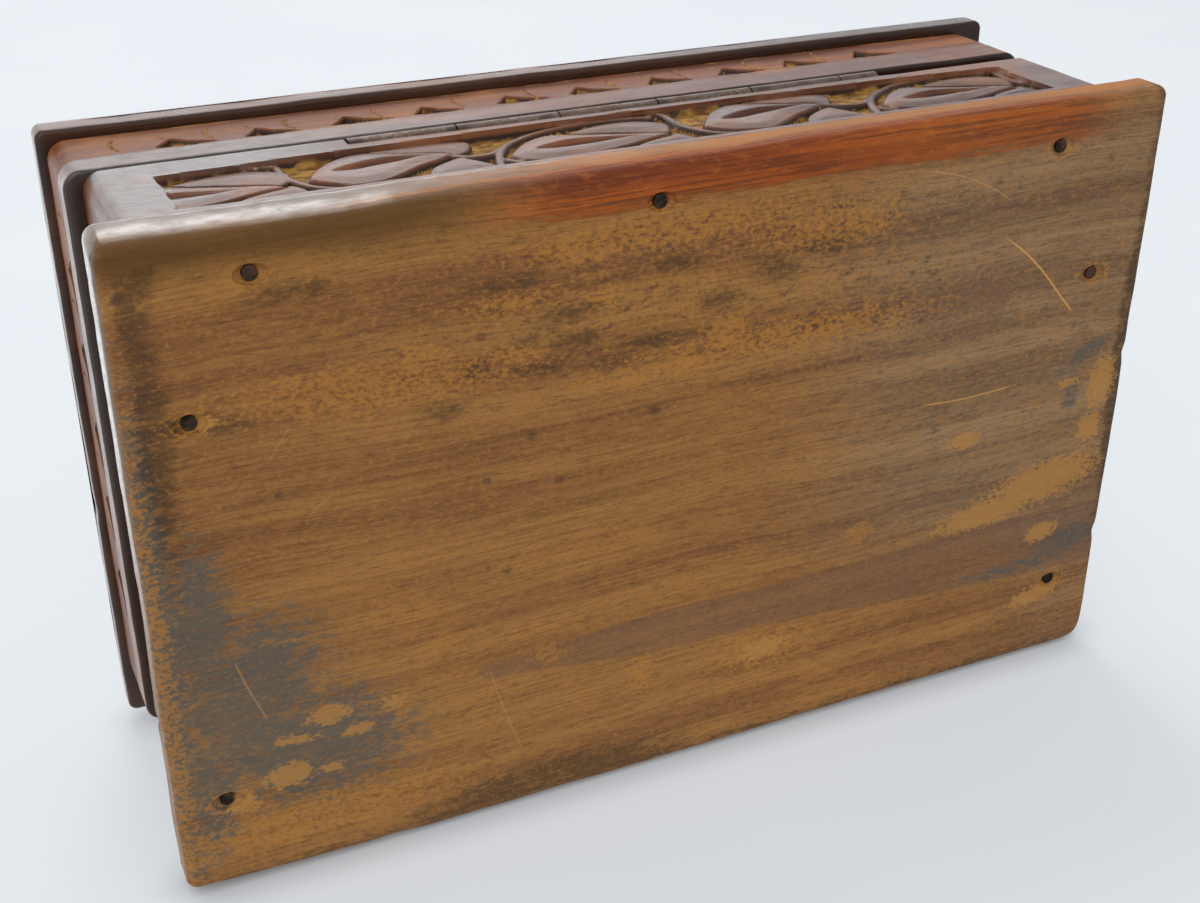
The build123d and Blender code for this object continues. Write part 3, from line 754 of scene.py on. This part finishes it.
# The outlines of a high and of a low leaf's parts, and where along the wall each such leaf starts.
high_leaf = {
    "starts": (33.9, 107.0, 181.0),
    "blade": [
        (0, 9.7), (1.5, 13), (4.3, 16.4), (7.8, 19), (11, 19.8), (15, 18.6), (19.5, 16.6), (24, 15),
        (26, 13.2), (23, 11), (18.5, 8.8), (14.5, 6), (10.5, 3.8), (6, 4.2), (2.2, 6.8),
    ],
    "scoop": [
        (3.8, 11.6), (8, 13.9), (13, 15.2), (19, 15.5), (24.3, 14.4), (19, 12.7), (13, 11.3), (7.5, 10.4),
    ],
    "upper": [
        (12.5, 20), (16, 21.2), (21, 21.5), (27, 20.9), (30.5, 19.6), (31, 17.5), (29.5, 14.3), (27, 13),
        (23, 14.8), (17, 17.5),
    ],
    "lower": [
        (18.5, 4), (20.5, 7.8), (24.5, 10.6), (27.2, 11.4), (28.5, 9.5), (31, 4.8), (29.5, 3.2), (24, 2.4),
        (20, 2.6),
    ],
    "stems": [
        [(-6.6, 19.6), (-5.2, 21.4), (-3.4, 20.6), (-3.5, 16), (-3.2, 12.4), (-1.2, 8), (1.6, 5.2), (6, 3.2)],
    ],
}
low_leaf = {
    "starts": (-1.0, 68.9, 144.3),
    "blade": [
        (0, 7.9), (1.8, 11), (4.8, 14.2), (9.2, 16.4), (13, 15.4), (17, 13.6), (22, 11.6), (27, 10),
        (30.2, 8), (27, 7.2), (23.5, 6), (19, 4.4), (13, 3.1), (6, 3), (1.6, 4.9),
    ],
    "scoop": [(4.3, 9), (8, 10.9), (12.5, 11.8), (18, 11.2), (26, 9.4), (20, 8.1), (15, 7.6), (8.5, 7.5)],
    "upper": [
        (13.5, 16), (17.5, 18), (22.5, 19), (28, 18.4), (32, 15.6), (32.4, 13), (30.3, 9.4), (27, 10.6),
        (21, 13.2),
    ],
    "lower": [(21, 3.2), (24, 6.2), (27.5, 7.6), (31.2, 8.6), (33.4, 4.4), (30, 2.6), (25, 2.4)],
    "stems": [
        [
            (-3.9, 2.4), (-2.8, 6.4), (-1.2, 10.6), (1.2, 14.4), (5, 17.4), (9.5, 19.6), (16, 20.9),
            (24, 21.1), (31, 20),
        ],
        [(-9.5, 13.4), (-6.4, 11.6), (-3, 11.2), (0.4, 13.6)],
        [(-2.2, 8), (0.2, 5.2), (1.8, 2.6)],
    ],
}


def carve_leaves(u, v):
    """How deep the gouge went at each point of a wall's face, how dusty it is there, and how polished."""
    u, v = np.broadcast_arrays(u, v)
    length = u.max()
    bow = np.sin(math.pi * np.clip((u - panel_end) / (length - 2 * panel_end), 0, 1)) ** 0.7
    wander = 0.25 * random_swell(u, v, 9, 5)
    ends = (u - panel_end + wander, length - panel_end - u + wander)
    levels = (v - panel_low, panel_high + panel_bow * bow - v + wander)
    from_edge = np.minimum.reduce([*ends, *levels])
    rough = 0.14 * random_swell(u, v, 1.3, 7) + 0.07 * random_swell(u, v, 0.6, 8)
    ground = ground_depth + rough
    cut = ground.copy()
    nick = np.zeros(u.shape)
    for shapes in (high_leaf, low_leaf):
        for start in shapes["starts"]:
            near = (u > start - 12) & (u < start + 37)
            if not near.any():
                continue
            here, level = u[near] - start, v[near]
            here = here + 0.3 * random_swell(u[near], level, 11, 12)
            blade, scoop, upper, lower = [
                inside_by(here, level, smooth_outline(shapes[part]))
                for part in ("blade", "scoop", "upper", "lower")
            ]
            best = cut[near]
            # Each part's outline, how far its middle swells towards the eye, and how deep its edge lies.
            for edge, crown, surface in ((upper, 0.3, 0.85), (lower, 0.3, 0.8), (blade, 0.35, 0.6)):
                body = surface - crown * ease(edge, 0, 3.5) + 0.25 * ease(-edge, -0.45, 0)
                wall = surface + 0.25 + 4.5 * np.maximum(-edge, 0)
                best = np.minimum(best, np.where(edge > 0, body, wall))
            for path in shapes["stems"]:
                off = away_from(here, level, smooth_outline(path, closed=False))
                stem = stem_foot - 0.45 * np.sqrt(np.clip(1 - (off / stem_half) ** 2, 0, 1))
                best = np.minimum(best, np.where(off < stem_half, stem, stem_foot + 4.0 * (off - stem_half)))
            best = best + ease(scoop, 0, 1.7) * (blade > 0)
            slit = np.clip(1 - np.abs(blade + 0.3) / 0.4, 0, 1) * ((upper > -0.3) | (lower > -0.3))
            cut[near] = best + 0.55 * slit
            nick[near] = np.maximum(nick[near], slit * ease(random_swell(u[near], level, 4, 15), -0.4, 0.3))
    side_wall = np.clip(from_edge / 0.3, 0, 1)
    cut = np.minimum(cut, ground) * side_wall
    dust = np.clip(ease(cut, 1.25, 1.75) * (0.85 + 0.3 * random_swell(u, v, 2.5, 17)) + 0.8 * nick, 0, 1)
    shine = (0.4 + 0.6 * ease(-cut, -0.5, -0.2)) * ease(-cut, -1.2, -0.7)
    # The shine also greys the colour, as a painted sheen, and is strongest towards one end.
    return cut, dust, shine * (0.4 + 0.6 * ease(-u, -48, -28))


def varnished_sheesham(name, along, seed, dark, light, rubbed, gloss, painted_shade_start=0.20, painted_shade_full=0.46):
    """Old varnish on sheesham: it fills the pores and wears paler in patches. Painted shade darkens it where
    the mesh's cut mask marks cuts and undersides.

    Pale brown dust lies in the cuts, and the rubbed parts take a soft sheen, where their colour is greyed as
    a painted sheen."""
    wood = with_nodes(bpy.data.materials.new(name))
    bands, lines, pores, cloud, fleck, crumb, fibres = wood_grain(wood, along, seed)
    cut, dust, shine = [
        add_node(wood, "Attribute", attribute_name=mask).outputs["Fac"]
        for mask in ("cut", "dust", "shine")
    ]
    settled = add_node(wood, "Math", (crumb, 0.7, dust), operation="MULTIPLY_ADD")
    settled = add_node(wood, "MapRange", (settled, 0.60, 1.20), interpolation_type="SMOOTHSTEP")
    dust_tone = add_layers(wood, "#6a441e", ("#b78a44", fleck, 0.34, 0.66, 1))
    tone = add_layers(
        wood,
        dark,
        (light, bands, 0.36, 0.64, 1),
        (dark, lines, 0.54, 0.36, 0.55),
        ("#22130c", pores, 0.38, 0.30, 0.60),
        (rubbed, cloud, 0.50, 0.68, 0.55),
        # Painted shade: the deeper the cut mask, the darker, in the cuts and on the undersides it marks.
        ("#211209", cut, painted_shade_start, painted_shade_full, 0.92),
        # Painted sheen: where the wood shines, its colour is greyed so that the reflection there reads
        # neutral.
        ("#4a423c", shine, 0.45, 1.0, 0.55),
        (dust_tone, settled, 0, 1, 1),
    )
    grit = add_node(wood, "Math", (settled, crumb), operation="MULTIPLY")
    height = add_node(wood, "Math", (grit, 0.8, fibres), operation="MULTIPLY_ADD")
    relief = add_node(wood, "Bump", {"Strength": 0.35, "Distance": 0.00025, "Height": height})
    sheen = add_node(wood, "MapRange", (cloud, 0.3, 0.7, gloss - 0.06, gloss + 0.1))
    sheen = add_node(wood, "Math", (settled, 0.5, sheen), operation="MULTIPLY_ADD")
    coat = add_node(wood, "MapRange", (fleck, 0.35, 0.6, 0.3, 0.6))
    coat = add_node(wood, "Math", (coat, shine), operation="MULTIPLY")
    face = {"Base Color": tone, "Roughness": sheen, "IOR": 1.45, "Specular IOR Level": 0.4, "Normal": relief}
    face |= {"Coat Weight": coat, "Coat Roughness": 0.22, "Coat IOR": 1.5}
    face = add_node(wood, "BsdfPrincipled", face)
    add_node(wood, "OutputMaterial", {"Surface": face})
    return wood


body_ring, body_levels = measure_ring("{}_wall")
wall_low, wall_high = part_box("back_wall")
wall_thickness = wall_high.y / MM - wall_low.y / MM
hinge_low, hinge_high = [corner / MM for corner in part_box("hinge_body_leaf")]
axis_y, axis_z = [place / MM for place in frame["joints"][0]["pos_m"][1:]]
barrel_radius = hinge_high.y - axis_y
hinge_clearance = 0.3
plate_thickness = 0.9
plate_gap = 0.05
plate_left, plate_right = hinge_low.x - plate_gap, hinge_high.x + plate_gap
plate_front = hinge_low.y - plate_gap
plate_floor = body_levels[1] - plate_thickness
# A rebate for the hinge's barrel, open at the left end, and a seat for the hinge's lower leaf.
rebate_inner = axis_y - barrel_radius - hinge_clearance
rebate_floor = axis_z - barrel_radius - hinge_clearance
rebate_end = hinge_high.x + hinge_clearance
rebate_low, rebate_high = (-beyond, rebate_inner, rebate_floor), (rebate_end, beyond, beyond)
leaf_low, leaf_high = (plate_left, plate_front, plate_floor), (plate_right, rebate_inner + crease / 2, beyond)
rebate_seats = [(rebate_low, rebate_high, 1, rebate_inner), (leaf_low, leaf_high, 2, plate_floor - plate_gap)]
body_middle_x = (body_ring[0] + body_ring[1]) / 2
# Where the bars' grids need creases: along a bar, up its face, and in from its face.
no_creases = {"along": [], "up": [], "in": []}
wall_creases = {
    "back": {
        "along": [body_middle_x - x for x in (rebate_end, plate_right, plate_left)],
        "up": [rebate_floor],
        "in": [body_ring[3] - rebate_inner, body_ring[3] - plate_front],
    },
    "left": {"along": [], "up": [rebate_floor], "in": [body_ring[3] - rebate_inner]},
}
wall_finishes = [
    varnished_sheesham(f"sheesham_varnished_{along}", along, seed, "#502813", "#784322", "#93582c", 0.32)
    for along, seed in (("x", 2), ("y", 3))
]
walls = {}
# The seeds are those of the swells in the bars' faces.
for side, seed in zip(SIDES, (17, 17, 16, 16)):
    creases = wall_creases.get(side, no_creases)
    seats = rebate_seats if side in wall_creases else []
    walls[side] = wrap_bar(
        f"{side}_wall_carved", side, body_ring, wall_thickness, body_levels,
        carve_leaves, creases, seats, seed,
    )
    walls[side].data.materials.append(wall_finishes[side in ("left", "right")])
    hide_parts(f"{side}_wall")
    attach(walls[side], "box")

# ---- lid rim ----
# Four sheesham bars like the body's, but lower. A knife and a straight chisel cut the row of notches, each
# with a bent nick before it, above a plain band. Dust has settled in the cuts.

notch_pitch = 15.8
notch_length = 11.4
notch_height = 4.8
notch_lean = 0.3
notch_base = 7.0
notch_climb = 3.4
climb_length = 194
first_notch = 16.5
last_notch_gap = 8
notch_shape = [(0, 0), (notch_lean * notch_length, notch_height), (6.0, 2.3), (notch_length, 0), (5.4, -0.5)]
notch_nick = [(-6.0, 7.6), (-6.7, 5.4), (-6.7, 3.0), (-6.1, 1.0)]
apex_nick = [(2.4, 4.9), (1.8, 6.4)]


def carve_notches(u, v):
    """How deep the knife went at each point of a rim bar's face, how dusty it is there, and how polished."""
    u, v = np.broadcast_arrays(u, v)
    cut, nick, dust = np.zeros((3, *u.shape))
    count = int((u.max() - first_notch - last_notch_gap - notch_length) // notch_pitch) + 1
    rng = np.random.default_rng(21)
    for i in range(count):
        start = first_notch + i * notch_pitch + rng.uniform(-0.6, 0.6)
        base = notch_base + notch_climb * start / climb_length
        stretch = rng.uniform(0.88, 1.08)
        near = (u > start - 8) & (u < start + notch_length + 3)
        here, level = (u[near] - start) / stretch, v[near] - base
        pocket = inside_by(here, level, np.array(notch_shape, float))
        cut[near] = np.maximum(cut[near], np.clip(pocket * 3.4, 0, 1.5 + 0.5 * ease(3 - here, 0, 3)))
        settled = ease(pocket, 0.05, 0.3) * ease(here, 1.6, 3.6) * ease(10.5 - here, 0, 1.5)
        settled *= ease(random_swell(here, level * 0, 1.6, 25 + i), -0.8, 0.0)
        dust[near] = np.maximum(dust[near], settled)
        for path, half_width, depth in ((notch_nick, 0.34, 0.5), (apex_nick, 0.3, 0.3)):
            off = away_from(here, level, smooth_outline(path, closed=False))
            groove = np.clip(1 - off / half_width, 0, 1)
            cut[near] = np.maximum(cut[near], depth * groove)
            nick[near] = np.maximum(nick[near], np.clip(groove * 2, 0, 1))
    under_lid = ease(v, v.max() - 1.6, v.max() - 1.0) * ease(random_swell(u, v, 3, 23), -0.3, 0.5)
    dust = np.clip(dust + nick + under_lid, 0, 1)
    base = notch_base + notch_climb * u / climb_length
    # The shine also greys the colour, as a painted sheen, and is strongest towards one end.
    return cut, dust, ease(base - v, 0.3, 1.6) * (0.45 + 0.55 * ease(-u, -95, -35))


def carve_notches_turned(u, v):
    """The same cuts, counted from the strip's other end."""
    return carve_notches(u.max() - u, v)


rim_ring, rim_levels = measure_ring("rim_{}")
rim_middle_x = (rim_ring[0] + rim_ring[1]) / 2
# A seat for the hinge's upper leaf.
plate_outer = axis_y + plate_thickness / 2 + plate_gap
plate_top = rim_levels[0] + plate_thickness
leaf_low, leaf_high = (plate_left, plate_front, -beyond), (plate_right, plate_outer, plate_top)
rim_seats = [(leaf_low, leaf_high, 2, plate_top + plate_gap)]
rim_creases = {
    "along": [rim_middle_x - x for x in (plate_right, plate_left)],
    "up": [],
    "in": [rim_ring[3] - plate_outer, rim_ring[3] - plate_front],
}
rim_tones = ("#5e2b0e", "#905020", "#aa6a2a")
# The rims' painted shade starts at a shallow cut and is full soon after, so that the notches go dark.
rim_finishes = [
    varnished_sheesham(f"sheesham_rim_varnished_{along}", along, seed, *rim_tones, 0.46, 0.02, 0.20)
    for along, seed in (("x", 5), ("y", 6))
]
rims = {}
for side, seed in zip(SIDES, (16, 16, 15, 15)):
    carve = carve_notches_turned if side == "right" else carve_notches
    creases, seats = (rim_creases, rim_seats) if side == "back" else (no_creases, [])
    rims[side] = wrap_bar(
        f"rim_{side}_carved", side, rim_ring, wall_thickness, rim_levels,
        carve, creases, seats, seed,
    )
    rims[side].data.materials.append(rim_finishes[side in ("left", "right")])
    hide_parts(f"rim_{side}")
    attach(rims[side], "lid")

# ---- lid board ----
# One varnished sheesham board that covers the rim and overhangs it all round, its edges rounded more than the
# bottom board's. Seven nails hold it down. Under the overhang it is darkened nearly to black.

lid_low, lid_high = [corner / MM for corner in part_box("lid_board")]
lid_top = make_board(
    "lid_board_worn", lid_low, lid_high, low_round=0.9, top_round=4.0, plan_round=1.8, step=1.6
)
wear_edges(lid_top, lid_low, lid_high, reach=0.3, dents=[((0, -1), -12, 2.0, 0.2)])
lid_nail_places = [
    (-77.2, 53.9), (9.1, 55.2), (81.3, 53.8), (-90.2, -43.8), (95.3, -42.2), (-89.2, 26.4), (93.3, 30.5),
]
sink_pits(lid_top, lid_nail_places, lid_high.z)
x, y, z = (read_places(lid_top) / MM).T
past_rim = np.maximum.reduce([rim_ring[0] - x, x - rim_ring[1], rim_ring[2] - y, y - rim_ring[3]])
past_rim = ease(past_rim, -3.5, -1.5)
no_dust = np.zeros(x.shape)
# Darker under the overhang, through the same darkening as the cuts.
lid_overhang_darkening = 0.37 * ease(lid_low.z + 1.6 - z, 0, 1.2) * past_rim
paint_points(lid_top, dust=no_dust, shine=no_dust + 0.4, cut=lid_overhang_darkening)
select_only(lid_top)
bpy.ops.object.shade_smooth_by_angle(angle=math.radians(40))
lid_finish = varnished_sheesham("sheesham_lid_varnished", "x", 9, "#432414", "#6a3c20", "#7c4826", 0.30)
lid_top.data.materials.append(lid_finish)
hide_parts("lid_board")
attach(lid_top, "lid")

# ---- hinge ----
# One long butt hinge of rolled steel strip: two leaves let into the wood, with knuckles round a steel pin.
# It has tarnished to a dull brownish grey, lighter in clouds.


def old_steel(name, seed, dark, light, rust, roughness):
    """Tarnished steel: a dull grey with brown bloom in clouds, that takes a soft highlight."""
    steel = with_nodes(bpy.data.materials.new(name))
    shape = add_node(steel, "TexCoord").outputs["Object"]
    place = {"Vector": shape, "Location": [seed] * 3, "Scale": [1 / MM] * 3}
    place = add_node(steel, "Mapping", place)
    cloud = add_node(steel, "TexNoise", {"Vector": place, "Scale": 0.16, "Detail": 5})
    pits = add_node(steel, "TexNoise", {"Vector": place, "Scale": 1.6, "Detail": 3})
    rusty = add_node(steel, "Math", (pits, 0.7, cloud), operation="MULTIPLY_ADD")
    tone = add_layers(steel, dark, (light, cloud, 0.35, 0.65, 1), (rust, rusty, 0.80, 1.0, 1))
    clean = add_node(steel, "MapRange", (rusty, 1.0, 0.8, 0.15, 0.8))
    dull = add_node(steel, "MapRange", (cloud, 0.3, 0.7, roughness - 0.08, roughness + 0.12))
    relief = add_node(steel, "Bump", {"Strength": 0.3, "Distance": 0.0002, "Height": pits})
    face = {"Base Color": tone, "Metallic": clean, "Roughness": dull, "Normal": relief}
    face = add_node(steel, "BsdfPrincipled", face)
    add_node(steel, "OutputMaterial", {"Surface": face})
    return steel


def finish_nodes(nodes, finish):
    """Gives these CAD nodes their material."""
    for node in nodes:
        materials = bpy.data.objects[node].data.materials
        materials.clear()
        materials.append(finish)


hinge_finish = old_steel("steel_hinge_tarnished", 3, "#54453d", "#887a70", "#5f4330", 0.42)
finish_nodes(("hinge_body_leaf", "hinge_lid_leaf", "hinge_pin"), hinge_finish)

# ---- nails and pins ----
# Steel nails with round heads, seven sunk below the face of each board and gone dark. Thin pins of the same
# steel hold the bars together at the corners, and short ones hold the hinge's leaves.

nail_finish = old_steel("steel_nail_rusted", 8, "#1f1711", "#443830", "#4a2c18", 0.6)
nails_and_pins = ("bottom_nails", "lid_nails", "wall_pins", "rim_pins", "hinge_body_pins", "hinge_lid_pins")
finish_nodes(nails_and_pins, nail_finish)
